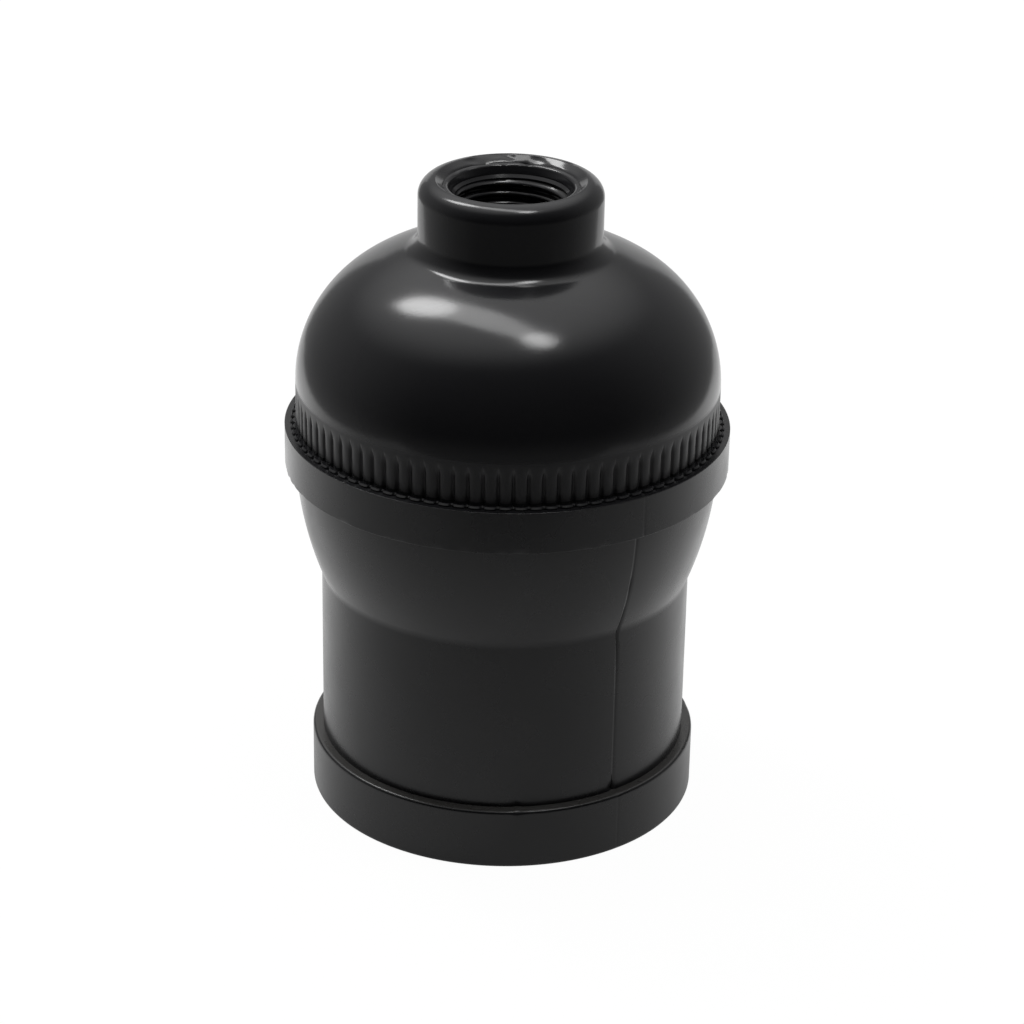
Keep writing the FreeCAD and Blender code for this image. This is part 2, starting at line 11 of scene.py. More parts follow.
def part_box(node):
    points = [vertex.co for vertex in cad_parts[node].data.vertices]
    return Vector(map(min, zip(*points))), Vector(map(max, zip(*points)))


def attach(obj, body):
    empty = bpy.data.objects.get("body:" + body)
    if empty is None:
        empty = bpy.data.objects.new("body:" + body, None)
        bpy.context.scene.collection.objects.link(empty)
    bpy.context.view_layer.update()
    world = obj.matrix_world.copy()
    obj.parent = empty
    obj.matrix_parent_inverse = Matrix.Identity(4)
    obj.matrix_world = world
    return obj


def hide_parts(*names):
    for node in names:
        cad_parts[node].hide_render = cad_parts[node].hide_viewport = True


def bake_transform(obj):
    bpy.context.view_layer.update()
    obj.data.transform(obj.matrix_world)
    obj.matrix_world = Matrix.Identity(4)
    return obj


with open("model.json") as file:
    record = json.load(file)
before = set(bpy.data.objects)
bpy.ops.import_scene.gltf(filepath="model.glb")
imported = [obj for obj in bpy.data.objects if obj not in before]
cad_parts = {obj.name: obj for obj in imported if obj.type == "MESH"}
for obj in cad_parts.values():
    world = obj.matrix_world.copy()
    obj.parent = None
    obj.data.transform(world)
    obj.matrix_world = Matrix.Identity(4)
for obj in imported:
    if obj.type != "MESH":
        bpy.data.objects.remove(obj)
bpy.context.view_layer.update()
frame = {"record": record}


# ---- lower moulding --------------------------------------------------------------------
# Black phenolic, compression-moulded in a split mould: mouth flange, barrel, flared shoulder and
# collar, with a web across the middle that carries all the metal. The split leaves a fine line down
# both sides, and a barrier stands on the web between the two terminals.

MM = 0.001                          # metres in one millimetre

mounts = {mount["name"]: mount for mount in frame["record"]["mounts"]}
socket_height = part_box("socket_body")[1].z / MM
collar_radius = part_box("socket_body")[1].x / MM
mouth_radius = mounts["lamp_mouth"]["dims"]["r_mm"]
mouth_step = 0.35
mouth_depth = 6.0
mouth_chamfer = 0.4
barrel_wall = 2.6
flange_lip = 0.95
flange_height = 5.7
shoulder_height = 10.4
shoulder_bulge = 0.45
collar_height = 3.76
collar_lip = 0.95
collar_wall = 2.95
pocket_depth = 5.06
web_thickness = 3.4
barrier_size = (1.6, 26.0, 3.4)     # thickness, length and height above the deck
barrier_sunk = 0.6
parting_turn = math.radians(-53.4)  # the mould's split, from +X
parting_width = 0.17
parting_depth = 0.1

bore_radius = mouth_radius - mouth_step
barrel_radius = bore_radius + barrel_wall
flange_radius = barrel_radius + flange_lip
collar_level = socket_height - collar_height
shoulder_level = collar_level - shoulder_height
shoulder_radius = collar_radius - collar_lip
pocket_radius = collar_radius - collar_wall
deck_level = socket_height - pocket_depth
web_level = deck_level - web_thickness


def rounded_outline(corners):
    """Points along an outline of (across, up, rounding) corners. A guard point each side of a rounding
    keeps the flats beside it flat when they are shaded."""
    points = []
    for before, corner, after in zip(corners[-1:] + corners[:-1], corners, corners[1:] + corners[:1]):
        at = Vector(corner[:2])
        rounding = corner[2] if len(corner) > 2 else 0
        if not rounding:
            points.append(at)
            continue
        back = (Vector(before[:2]) - at).normalized()
        onward = (Vector(after[:2]) - at).normalized()
        half = back.angle(onward) / 2
        reach = rounding / math.tan(half)
        guard = 0.3 * rounding
        centre = at + (back + onward).normalized() * rounding / math.sin(half)
        first = at + back * reach - centre
        last = at + onward * reach - centre
        steps = max(3, round((math.pi - 2 * half) / math.radians(14)))
        points.append(at + back * (reach + guard))
        points += [centre + rounding * first.slerp(last, step / steps) for step in range(steps + 1)]
        points.append(at + onward * (reach + guard))
    return points


def arc_points(centre, radius, start, finish, steps):
    """Points on an arc from one angle to another, in degrees, both ends included."""
    angles = [math.radians(start + (finish - start) * step / steps) for step in range(steps + 1)]
    return [Vector((centre[0] + radius * math.cos(at), centre[1] + radius * math.sin(at))) for at in angles]


def straight_points(start, finish, spacing):
    """Evenly spaced points from start up to, but without, finish."""
    steps = max(1, round((Vector(finish) - Vector(start)).length / spacing))
    return [Vector(start).lerp(Vector(finish), step / steps) for step in range(steps)]


def even_turns(count):
    return [2 * math.pi * step / count for step in range(count)]


def faces_between(ring, turns, other, other_turns):
    """Faces between two rings: four-sided where their directions agree, triangles where one is finer."""
    same = 1e-6
    faces = []
    here = there = 0
    turns = [*turns, 2 * math.pi]
    other_turns = [*other_turns, 2 * math.pi]
    steps = len(ring) if len(ring) > 1 else 0
    other_steps = len(other) if len(other) > 1 else 0
    while here < steps or there < other_steps:
        ahead = turns[here + 1] if here < steps else math.inf
        other_ahead = other_turns[there + 1] if there < other_steps else math.inf
        moves = ahead < other_ahead + same
        other_moves = other_ahead < ahead + same
        face = [other[there % len(other)], ring[here % len(ring)]]
        if moves:
            here += 1
            face.append(ring[here % len(ring)])
        if other_moves:
            there += 1
            face.append(other[there % len(other)])
        faces.append(face)
    return faces


def closed_mesh(name, corners, faces):
    """A closed mesh with all its faces turned outward."""
    mesh = bpy.data.meshes.new(name)
    mesh.from_pydata(corners, [], faces)
    shell = bmesh.new()
    shell.from_mesh(mesh)
    bmesh.ops.recalc_face_normals(shell, faces=shell.faces)
    shell.to_mesh(mesh)
    shell.free()
    return mesh


def turned_mesh(name, stretches):
    """A solid turned about Z. Each stretch holds directions round the axis and the outline points that
    use them, and the outline closes on itself unless it starts on the axis."""
    corners = []
    rings = []
    for turns, points in stretches:
        for across, up in points:
            around = turns if across > 0 else [0.0]
            rings.append((range(len(corners), len(corners) + len(around)), around))
            corners += [(across * math.cos(turn), across * math.sin(turn), up) for turn in around]
    pairs = list(zip(rings, rings[1:]))
    if len(rings[0][0]) > 1:
        pairs.append((rings[-1], rings[0]))
    faces = [face for first, last in pairs for face in faces_between(*first, *last)]
    return closed_mesh(name, corners, faces)


def corners_of(node):
    """A node's lowest and highest corners at rest, in millimetres."""
    return [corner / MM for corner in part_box(node)]


def loose_piece(name, data):
    """An object in the scene for a mesh, a lamp or the camera, with any steps still to go through."""
    piece = bpy.data.objects.new(name, data)
    bpy.context.scene.collection.objects.link(piece)
    return piece


def settle_modifiers(piece):
    """Turn what the modifiers make into the piece's plain mesh, and take them off."""
    bpy.context.view_layer.update()
    made = piece.evaluated_get(bpy.context.evaluated_depsgraph_get())
    plain = bpy.data.meshes.new_from_object(made)
    piece.modifiers.clear()
    piece.data = plain


def cut_away(piece, tool, operation="DIFFERENCE"):
    """Take a closed mesh away from a piece, or weld it on."""
    cutter = loose_piece("cutter", tool)
    step = piece.modifiers.new("cut", "BOOLEAN")
    step.operation = operation
    step.solver = "MANIFOLD"
    step.object = cutter
    settle_modifiers(piece)
    bpy.data.objects.remove(cutter)


def finish_piece(piece, material, body, slot, *nodes, crease=35):
    """Shade it smooth up to its creases, bring it to metres, and seat it in place of its nodes."""
    piece.data.transform(Matrix.Scale(MM, 4))
    piece.data.shade_smooth()
    piece.data.set_sharp_from_angle(angle=math.radians(crease))
    piece.data.materials.clear()
    piece.data.materials.append(material)
    if body:
        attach(piece, body)
    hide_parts(*nodes)


def add(tree, kind, inputs=(), **settings):
    """Put a node in a tree. An input takes a value, an output socket, or another node, which then gives
    the first output that it has in use."""
    made = tree.nodes.new(kind)
    for name, value in settings.items():
        setattr(made, name, value)
    for key, value in dict(inputs).items():
        if isinstance(value, bpy.types.Node):
            value = next(socket for socket in value.outputs if socket.enabled)
        if isinstance(value, bpy.types.NodeSocket):
            tree.links.new(value, made.inputs[key])
        else:
            made.inputs[key].default_value = value
    return made


def linear(hex_colour):
    """An sRGB colour as the linear values that shaders work in."""
    channels = [int(hex_colour[start:start + 2], 16) / 255 for start in (1, 3, 5)]
    return [(c / 12.92 if c <= 0.04045 else ((c + 0.055) / 1.055) ** 2.4) for c in channels] + [1.0]


def start_material(name):
    """A material with its tree and its surface shader."""
    material = bpy.data.materials.new(name)
    material.use_nodes = True
    return material, material.node_tree, material.node_tree.nodes["Principled BSDF"]


def moulded_phenolic(name, colour, roughness, unevenness, painted_light_on_flats=0.0, dull_band=(-1.0, -1.0)):
    """Wood-flour phenolic takes its gloss from the mould: near-black, with a skin a little uneven from
    place to place, and a fine grain where the mould's polish has worn. Low flats that face up are
    paled towards grey as painted light, standing in for light that they catch, and between two levels
    the mould can be as its cutter left it, which dulls the skin."""
    dulling = 0.26                  # roughness that the cutter's marks add
    dull_edge = 0.4 * MM
    flat_light_full_level = 10 * MM           # the painted light is whole up to here
    flat_light_gone_level = 30 * MM           # and gone from here up
    flat_light_from = 0.8            # upward part of the normal
    material, tree, surface = start_material(name)
    surface.inputs["IOR"].default_value = 1.5
    place = add(tree, "ShaderNodeTexCoord").outputs["Object"]
    patches = add(tree, "ShaderNodeTexNoise", {"Vector": place, "Scale": 1 / (6 * MM), "Detail": 4.0})
    polish = add(tree, "ShaderNodeMapRange", {
        "Value": patches, "From Min": 0.3, "From Max": 0.7,
        "To Min": roughness - unevenness, "To Max": roughness + unevenness,
    })
    level = add(tree, "ShaderNodeSeparateXYZ", {0: place}).outputs["Z"]
    band_middle = sum(dull_band) / 2 * MM
    band_reach = (dull_band[1] - dull_band[0]) / 2 * MM
    off_band = add(tree, "ShaderNodeMath", {0: level, 1: band_middle}, operation="SUBTRACT")
    off_band = add(tree, "ShaderNodeMath", {0: off_band}, operation="ABSOLUTE")
    dull = add(tree, "ShaderNodeMapRange", {
        "Value": off_band, "From Min": band_reach, "From Max": band_reach - dull_edge, "To Max": dulling,
    })
    rough = add(tree, "ShaderNodeMath", {0: polish, 1: dull}, operation="ADD").outputs[0]
    tree.links.new(rough, surface.inputs["Roughness"])
    normal = add(tree, "ShaderNodeNewGeometry").outputs["Normal"]
    upward = add(tree, "ShaderNodeSeparateXYZ", {0: normal}).outputs["Z"]
    # painted light: low flats that face up are mixed towards a light grey, for light they catch
    flat_facing_up = add(tree, "ShaderNodeMapRange", {
        "Value": upward, "From Min": flat_light_from, "From Max": 1.0, "To Max": painted_light_on_flats,
    })
    low = add(tree, "ShaderNodeMapRange", {
        "Value": level, "From Min": flat_light_gone_level, "From Max": flat_light_full_level,
    })
    painted_flat_light = add(tree, "ShaderNodeMath", {0: flat_facing_up, 1: low}, operation="MULTIPLY")
    skin = add(tree, "ShaderNodeMix", {
        "Factor": painted_flat_light, "A": linear(colour), "B": linear("#8c8a86"),
    }, data_type="RGBA").outputs["Result"]
    tree.links.new(skin, surface.inputs["Base Color"])
    swells = add(tree, "ShaderNodeTexNoise", {"Vector": place, "Scale": 1 / (3.5 * MM), "Detail": 1.0})
    grain = add(tree, "ShaderNodeTexNoise", {"Vector": place, "Scale": 1 / (0.25 * MM), "Detail": 2.0})
    swelling = add(tree, "ShaderNodeBump", {
        "Height": swells, "Strength": 0.15, "Distance": 0.05 * MM,
    })
    graining = add(tree, "ShaderNodeBump", {
        "Height": grain, "Strength": 0.25, "Distance": 0.01 * MM, "Normal": swelling,
    }).outputs["Normal"]
    tree.links.new(graining, surface.inputs["Normal"])
    return material


def start_tree(name, inputs):
    """A Geometry Nodes tree that takes a geometry, inputs of the kinds given, and a material, with the
    sockets that they come in by."""
    tree = bpy.data.node_groups.new(name, "GeometryNodeTree")
    tree.interface.new_socket("Geometry", in_out="OUTPUT", socket_type="NodeSocketGeometry")
    for key, kind in {"Geometry": "Geometry", **inputs, "Material": "Material"}.items():
        tree.interface.new_socket(key, in_out="INPUT", socket_type="NodeSocket" + kind)
    return tree, add(tree, "NodeGroupInput").outputs


def end_tree(tree, geometry, material):
    """Make the geometry real, give it its material, and bring it out of the tree."""
    whole = add(tree, "GeometryNodeRealizeInstances", {0: geometry})
    finished = add(tree, "GeometryNodeSetMaterial", {"Geometry": whole, "Material": material})
    add(tree, "NodeGroupOutput", {0: finished})
    return tree


def around_axis(tree):
    """Where each point is, seen from the Z axis: its height, distance, way out and direction."""
    place = add(tree, "GeometryNodeInputPosition")
    place = add(tree, "ShaderNodeSeparateXYZ", {0: place}).outputs
    outward = add(tree, "ShaderNodeCombineXYZ", {"X": place["X"], "Y": place["Y"]})
    radius = add(tree, "ShaderNodeVectorMath", {0: outward}, operation="LENGTH")
    outward = add(tree, "ShaderNodeVectorMath", {0: outward}, operation="NORMALIZE")
    direction = add(tree, "ShaderNodeMath", {0: place["Y"], 1: place["X"]}, operation="ARCTAN2")
    return place["Z"], radius, outward, direction


def wave_tree():
    """Geometry Nodes that roll a right-handed round thread into a turned wall: every point of the wall
    between two radii moves in or out with its height and direction, and the wave fades out at both
    ends."""
    numbers = ("Pitch", "Swing", "Start", "Finish", "Fade", "Inner Radius", "Outer Radius")
    tree, sizes = start_tree("rolled_wave", dict.fromkeys(numbers, "Float"))
    height, radius, outward, direction = around_axis(tree)
    angle = height
    for step, by in (("SUBTRACT", sizes["Start"]), ("DIVIDE", sizes["Pitch"]), ("MULTIPLY", 2 * math.pi)):
        angle = add(tree, "ShaderNodeMath", {0: angle, 1: by}, operation=step)
    phase = add(tree, "ShaderNodeMath", {0: direction, 1: angle}, operation="SUBTRACT")
    wave = add(tree, "ShaderNodeMath", {0: phase}, operation="COSINE")
    swing = add(tree, "ShaderNodeMath", {0: sizes["Swing"], 1: wave}, operation="MULTIPLY")
    for end, away in (("Start", "SUBTRACT"), ("Finish", "ADD")):
        gone = add(tree, "ShaderNodeMath", {0: sizes[end], 1: sizes["Fade"]}, operation=away)
        held = add(tree, "ShaderNodeMapRange", {
            "Value": height, "From Min": gone, "From Max": sizes[end],
        }, interpolation_type="SMOOTHSTEP")
        swing = add(tree, "ShaderNodeMath", {0: swing, 1: held}, operation="MULTIPLY")
    shift = add(tree, "ShaderNodeVectorMath", {0: outward, "Scale": swing}, operation="SCALE")
    limits = {}
    for at, (limit, side) in enumerate((("Inner Radius", "GREATER_THAN"), ("Outer Radius", "LESS_THAN"))):
        limits[at] = add(tree, "FunctionNodeCompare", {0: radius, 1: sizes[limit]}, operation=side)
    wall = add(tree, "FunctionNodeBooleanMath", limits, operation="AND")
    moved = add(tree, "GeometryNodeSetPosition", {
        "Geometry": sizes["Geometry"], "Selection": wall, "Offset": shift,
    })
    return end_tree(tree, moved, sizes["Material"])


def shape_with(piece, tree, sizes):
    """Run a piece through a Geometry Nodes tree, with inputs given by name, and keep the result."""
    live = piece.modifiers.new(tree.name, "NODES")
    live.node_group = tree
    for item in tree.interface.items_tree:
        if item.item_type == "SOCKET" and item.in_out == "INPUT" and item.name in sizes:
            live[item.identifier] = sizes[item.name]
    settle_modifiers(piece)


rolled_wave = wave_tree()
# the body's low ledges that face up get painted light, a paler grey skin
body_phenolic = moulded_phenolic(
    "worn_mould_phenolic", "#19191b", roughness=0.28, unevenness=0.05, painted_light_on_flats=0.22,
)

# the cap's skirt screws into the collar, and both walls carry the same coarse moulded thread
skirt_clearance = 0.3
skirt_radius = pocket_radius - skirt_clearance
wall_skin = 0.1                     # a thread moves the points this near to its wall's radius
collar_thread = {
    "Pitch": 1.9, "Swing": 0.24, "Start": deck_level + 1.7, "Finish": socket_height - 1.1, "Fade": 0.5,
}

chord = Vector((shoulder_radius - barrel_radius, collar_level - shoulder_level))
shoulder_curve = (chord.length ** 2 / 4 + shoulder_bulge ** 2) / (2 * shoulder_bulge)
middle = Vector((barrel_radius, shoulder_level)) + chord / 2
shoulder_centre = middle + Vector((-chord.y, chord.x)).normalized() * (shoulder_curve - shoulder_bulge)
shoulder_ends = ((barrel_radius, shoulder_level), (shoulder_radius, collar_level))
arms = [Vector(end) - shoulder_centre for end in shoulder_ends]
shoulder_angles = [math.degrees(math.atan2(arm.y, arm.x)) for arm in arms]
shoulder = arc_points(shoulder_centre, shoulder_curve, *shoulder_angles, 20)

split = [parting_turn % math.pi + half_turn for half_turn in (0, math.pi)]
beside = parting_width / 2 / barrel_radius
split_turns = [side + step * beside for side in split for step in (-2, -1, 0, 1, 2)]
outer_turns = sorted(even_turns(360) + split_turns)
inner_turns = even_turns(180)
outside = rounded_outline([
    (mouth_radius + mouth_chamfer, 0),
    (flange_radius, 0, 0.35),
    (flange_radius, flange_height - 0.6),
    (flange_radius, flange_height, 0.3),
    (barrel_radius, flange_height),
    (barrel_radius, flange_height + 0.3),
    (barrel_radius, flange_height + 0.8),
])[1:]
outside += straight_points(outside[-1], (barrel_radius, shoulder_level - 0.9), 1.2)[1:]
outside += straight_points(outside[-1], shoulder[0], 0.3)[1:]
outside += shoulder[:-1]
outside += rounded_outline([
    tuple(shoulder[-2]), (shoulder_radius, collar_level), (collar_radius, collar_level, 0.05),
    *((collar_radius, collar_level + up) for up in (0.1, 0.24, 0.5)),
    (collar_radius, socket_height, 0.04), (pocket_radius, socket_height, 0.25), (pocket_radius, deck_level),
])[1:-1]
pocket = straight_points(outside[-1], (pocket_radius, deck_level), 0.16)
deck = [Vector((across, deck_level)) for across in (pocket_radius, pocket_radius - 1.2, 0)]
inside = rounded_outline([
    (0, web_level), (bore_radius, web_level, 0.25), (bore_radius, mouth_depth, 0.1),
    (mouth_radius, mouth_depth, 0.1), (mouth_radius, mouth_chamfer, 0.15),
    (mouth_radius + mouth_chamfer, 0, 0.1), (flange_radius - 1, 0),
])[:-1]
socket_body = loose_piece("socket_moulding", turned_mesh("socket_moulding", [
    (inner_turns, inside), (outer_turns, outside), (inner_turns, pocket + deck),
]))
shape_with(socket_body, rolled_wave, {
    **collar_thread, "Inner Radius": pocket_radius - wall_skin, "Outer Radius": pocket_radius + wall_skin,
    "Material": body_phenolic,
})


def uneven(*place):
    """A smooth random value between about -1 and 1, the same at every run."""
    return noise.noise(Vector(place), noise_basis="PERLIN_ORIGINAL")


def nearness(distance, reach):
    """1 where a thing is, falling evenly to 0 at the end of its reach."""
    return max(0, 1 - abs(distance) / reach)


# where the mould's halves meet, the skin dips in a line that comes and goes, deepest round the crease
# under the shoulder and faint on the flange and the collar. Two pits lie at the barrel's foot, and the
# edges of the collar and the flange have lost small chips in tumbling.
pits = (                            # direction, level, reach and depth
    (parting_turn, flange_height + 0.3, 0.5, 0.3),
    (math.radians(-85), flange_height, 0.45, 0.2),
)
crease_spread = 2.4
faint = 0.35                        # share of the line's depth that the flange and the collar show
collar_chip, collar_edge = 0.22, 0.2    # depth of the chips, and how far from the edge they reach
flange_chip, flange_edge = 0.16, 0.4
for vertex in socket_body.data.vertices:
    across = Vector(vertex.co[:2])
    level = vertex.co.z
    if across.length < bore_radius + 1.3 or level > socket_height - 0.3:
        continue
    turn = math.atan2(across.y, across.x)
    turns_off = [abs((turn - side + math.pi) % (2 * math.pi) - math.pi) for side in split]
    off_split = min(turns_off) * across.length
    strength = 0.4 + 0.6 * max(0, uneven(turn, 0, 0.35 * level + 3.1))
    strength += 0.8 * math.exp(-((level - shoulder_level) / crease_spread) ** 2)
    strength *= faint if level < flange_height or level > collar_level else 1
    dip = parting_depth * strength * nearness(off_split, parting_width)
    if across.length > barrel_radius - 0.1:
        for pit_turn, pit_level, reach, depth in pits:
            away = Vector(((turn - pit_turn) * across.length, level - pit_level)).length
            dip += depth * nearness(away, reach)
    if across.length > collar_radius - 0.12:
        worn = max(0, uneven(9 * turn, 1.7, 0.5) - 0.25) + 0.6 * max(0, uneven(31 * turn, 4.2, 0.5) - 0.2)
        dip += collar_chip * nearness(level - collar_level, collar_edge) * worn
    if across.length > flange_radius - 0.35:
        worn = max(0, uneven(14 * turn, 8.3, 0.1) - 0.32)
        dip += flange_chip * nearness(level - flange_height, flange_edge) * worn
    vertex.co -= Vector((*across.normalized(), 0)) * dip


def plain_mesh(name, shell):
    """The mesh that a bmesh has made, with the bmesh let go."""
    mesh = bpy.data.meshes.new(name)
    shell.to_mesh(mesh)
    shell.free()
    return mesh


def round_tool(radius, low, high, place):
    """A plain cylinder to cut a hole with."""
    shell = bmesh.new()
    middle = Matrix.Translation((place[0], place[1], (low + high) / 2))
    bmesh.ops.create_cone(shell, cap_ends=True, segments=48, radius1=radius, radius2=radius,
                          depth=high - low, matrix=middle)
    return plain_mesh("round_tool", shell)


def hull_tool(node, grow):
    """The outline that a node's own solid fills, a little larger all round, to sink a seat with."""
    low, high = corners_of(node)
    middle = (low + high) / 2
    shell = bmesh.new()
    for vertex in bpy.data.objects[node].data.vertices:
        shell.verts.new(vertex.co)
    bmesh.ops.remove_doubles(shell, verts=shell.verts, dist=1e-6)
    bmesh.ops.convex_hull(shell, input=shell.verts)
    loose = [vertex for vertex in shell.verts if not vertex.link_faces]
    bmesh.ops.delete(shell, geom=loose, context="VERTS")
    for vertex in shell.verts:
        arm = vertex.co / MM - middle
        arm.x += math.copysign(grow, arm.x)
        arm.y += math.copysign(grow, arm.y)
        vertex.co = middle + arm
    bmesh.ops.recalc_face_normals(shell, faces=shell.faces)
    return plain_mesh("hull_tool", shell)


def block(middle, sizes):
    """A box, as a bmesh that has yet to be made plain."""
    shell = bmesh.new()
    place = Matrix.Translation(middle) @ Matrix.Diagonal((*sizes, 1))
    bmesh.ops.create_cube(shell, size=1.0, matrix=place)
    return shell


thickness, length, height = barrier_size
middle = (0, 0, deck_level + (height - barrier_sunk) / 2)
barrier = block(middle, (thickness, length, height + barrier_sunk))
top_edges = [edge for edge in barrier.edges if all(v.co.z > deck_level + 1 for v in edge.verts)]
upright_edges = [edge for edge in barrier.edges if abs(edge.verts[0].co.z - edge.verts[1].co.z) > 1]
bmesh.ops.bevel(barrier, geom=top_edges + upright_edges, offset=0.3, segments=4, profile=0.5,
                affect="EDGES")
cut_away(socket_body, plain_mesh("barrier", barrier), "UNION")

seat_gap = 0.15
screw_hole_radius = 2.0
rivet_hole_radius = 1.13
deck_clear = deck_level + 1         # a tool stands out of both faces of the web
for side in ("line", "neutral"):
    low, high = corners_of(side + "_screw")
    cut_away(socket_body, hull_tool(side + "_terminal", seat_gap))
    cut_away(socket_body, round_tool(screw_hole_radius, low.z - 0.3, deck_clear, (low + high) / 2))
for node in ("line_rivet", "neutral_rivet", "shell_rivet"):
    low, high = corners_of(node)
    cut_away(socket_body, round_tool(rivet_hole_radius, web_level - 2, deck_clear + 1, (low + high) / 2))
finish_piece(socket_body, body_phenolic, "base", "body_phenolic", "socket_body")


# ---- screw shell -----------------------------------------------------------------------
# Thin brass sheet, drawn to a cup and rolled with the medium screw thread that takes the lamp. Its end
# is turned in to a flat ring, and two rivets hold the ring against the underside of the web.

shell_wall = 0.35
shell_low = mouth_depth + 0.3
shell_pitch = 3.629
shell_swing = 0.525
shell_end = 2.6                     # plain stretch at each end of the thread
shell_inner = 12.775
shell_hole = 9.2
shell_curl = 0.6                    # how much sooner the thread ends at the turned-in end


def worked_metal(name, colour, tarnish, roughness, lines=0.0):
    """Sheet or turned metal: bright, with tarnish in soft patches, and fine lines round it where a roll
    or a lathe tool has passed."""
    material, tree, surface = start_material(name)
    surface.inputs["Metallic"].default_value = 1.0
    place = add(tree, "ShaderNodeTexCoord").outputs["Object"]
    patches = add(tree, "ShaderNodeTexNoise", {"Vector": place, "Scale": 1 / (4 * MM), "Detail": 6.0})
    tarnished = add(tree, "ShaderNodeMapRange", {
        "Value": patches, "From Min": 0.45, "From Max": 0.75,
    })
    tint = add(tree, "ShaderNodeMix", {
        "Factor": tarnished, "A": linear(colour), "B": linear(tarnish),
    }, data_type="RGBA")
    tree.links.new(tint.outputs["Result"], surface.inputs["Base Color"])
    dulled = add(tree, "ShaderNodeMapRange", {
        "Value": patches, "From Min": 0.3, "From Max": 0.8,
        "To Min": roughness - 0.05, "To Max": roughness + 0.15,
    })
    tree.links.new(dulled.outputs["Result"], surface.inputs["Roughness"])
    stretched = add(tree, "ShaderNodeMapping", {"Vector": place, "Scale": (1.0, 1.0, 30.0)})
    drag = add(tree, "ShaderNodeTexNoise", {
        "Vector": stretched, "Scale": 1 / (5 * MM), "Detail": 3.0,
    })
    lined = add(tree, "ShaderNodeBump", {
        "Height": drag, "Strength": lines, "Distance": 0.02 * MM,
    })
    tree.links.new(lined.outputs["Normal"], surface.inputs["Normal"])
    return material


rolled_brass = worked_metal("rolled_brass", "#d9b866", "#a88443", roughness=0.22, lines=0.5)
shell_outline = rounded_outline([
    (shell_inner, shell_low, 0.08), (shell_inner + shell_wall, shell_low, 0.08),
    (shell_inner + shell_wall, web_level, 0.9), (shell_hole, web_level, 0.05),
    (shell_hole, web_level - shell_wall, 0.12), (shell_inner, web_level - shell_wall, 0.55),
])
walls = [at for at in range(len(shell_outline)) if (shell_outline[at] - shell_outline[at - 1]).length > 10]
for at in reversed(walls):
    shell_outline[at:at] = straight_points(shell_outline[at - 1], shell_outline[at], 0.26)[1:]
screw_shell = loose_piece("shell_rolled", turned_mesh("shell_rolled", [(even_turns(168), shell_outline)]))
shape_with(screw_shell, rolled_wave, {
    "Pitch": shell_pitch, "Swing": shell_swing, "Start": shell_low + shell_end,
    "Finish": web_level - shell_end - shell_curl, "Fade": 1.4,
    "Inner Radius": shell_inner - wall_skin, "Outer Radius": shell_inner + shell_wall + wall_skin,
    "Material": rolled_brass,
})
finish_piece(screw_shell, rolled_brass, "base", "shell_brass", "screw_shell")


# ---- centre contact --------------------------------------------------------------------
# Phosphor-bronze strip, its root riveted under the web. It is folded back on itself so that the leg
# springs, and its rounded nose, on the axis, meets the lamp.

contact_low, contact_high = corners_of("centre_contact")
strip_thickness = 0.4
strip_width = contact_high.y - contact_low.y
fold_across = 6.9
fold_radius = 0.75
nose_radius = 2.0
nose_curl = 1.7
strip_level = web_level - strip_thickness / 2

spring_bronze = worked_metal("spring_bronze", "#c98f5c", "#8f5f3c", roughness=0.28, lines=0.2)
fold_centre = Vector((fold_across, strip_level - fold_radius))
nose_centre = Vector((0, contact_low.z + strip_thickness / 2 + nose_radius))
span = fold_centre - nose_centre
lean = math.degrees(math.atan2(span.y, span.x) - math.asin((fold_radius - nose_radius) / span.length))
nose_finish = -90 - math.degrees(math.asin(nose_curl / nose_radius))
spine = straight_points((contact_low.x, strip_level), (fold_across, strip_level), 0.5)
spine += arc_points(fold_centre, fold_radius, 90, lean - 90, 14)
spine += straight_points(spine[-1], arc_points(nose_centre, nose_radius, lean - 90, 0, 1)[0], 0.4)[1:]
spine += arc_points(nose_centre, nose_radius, lean - 90, nose_finish, 14)
section = rounded_outline([
    (-strip_width / 2, -strip_thickness / 2, 0.1), (strip_width / 2, -strip_thickness / 2, 0.1),
    (strip_width / 2, strip_thickness / 2, 0.1), (-strip_width / 2, strip_thickness / 2, 0.1),
])
strip_corners = []
for at, point in enumerate(spine):
    run = (spine[min(at + 1, len(spine) - 1)] - spine[max(at - 1, 0)]).normalized()
    outward = Vector((-run.y, run.x))
    for along, through in section:
        place = point + outward * through
        strip_corners.append((place.x, along, place.y))
size = len(section)
strip_faces = [
    [ring * size + corner, ring * size + (corner + 1) % size, (ring + 1) * size + (corner + 1) % size,
     (ring + 1) * size + corner]
    for ring in range(len(spine) - 1) for corner in range(size)
]
strip_faces += [list(range(size)), list(range(len(strip_corners) - size, len(strip_corners)))]
centre_contact = loose_piece("contact_strip", closed_mesh("centre_contact", strip_corners, strip_faces))
finish_piece(centre_contact, spring_bronze, None, "contact_bronze", "centre_contact")
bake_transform(centre_contact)


# ---- terminals and binding screws ------------------------------------------------------
# Each plate is stamped, set in a shallow seat in the web and tapped for its binding screw. The line
# side is bare brass, and the screw shell's side is nickel-plated, so that the two wires can't be
# mistaken for each other.

turned_brass = worked_metal("turned_brass", "#dcb961", "#b08c48", roughness=0.2, lines=0.3)
nickel_plate = worked_metal("nickel_plate", "#c9c4b8", "#a29c8f", roughness=0.18, lines=0.2)
stamped_brass = worked_metal("stamped_brass", "#d3ae5e", "#a07d40", roughness=0.3)


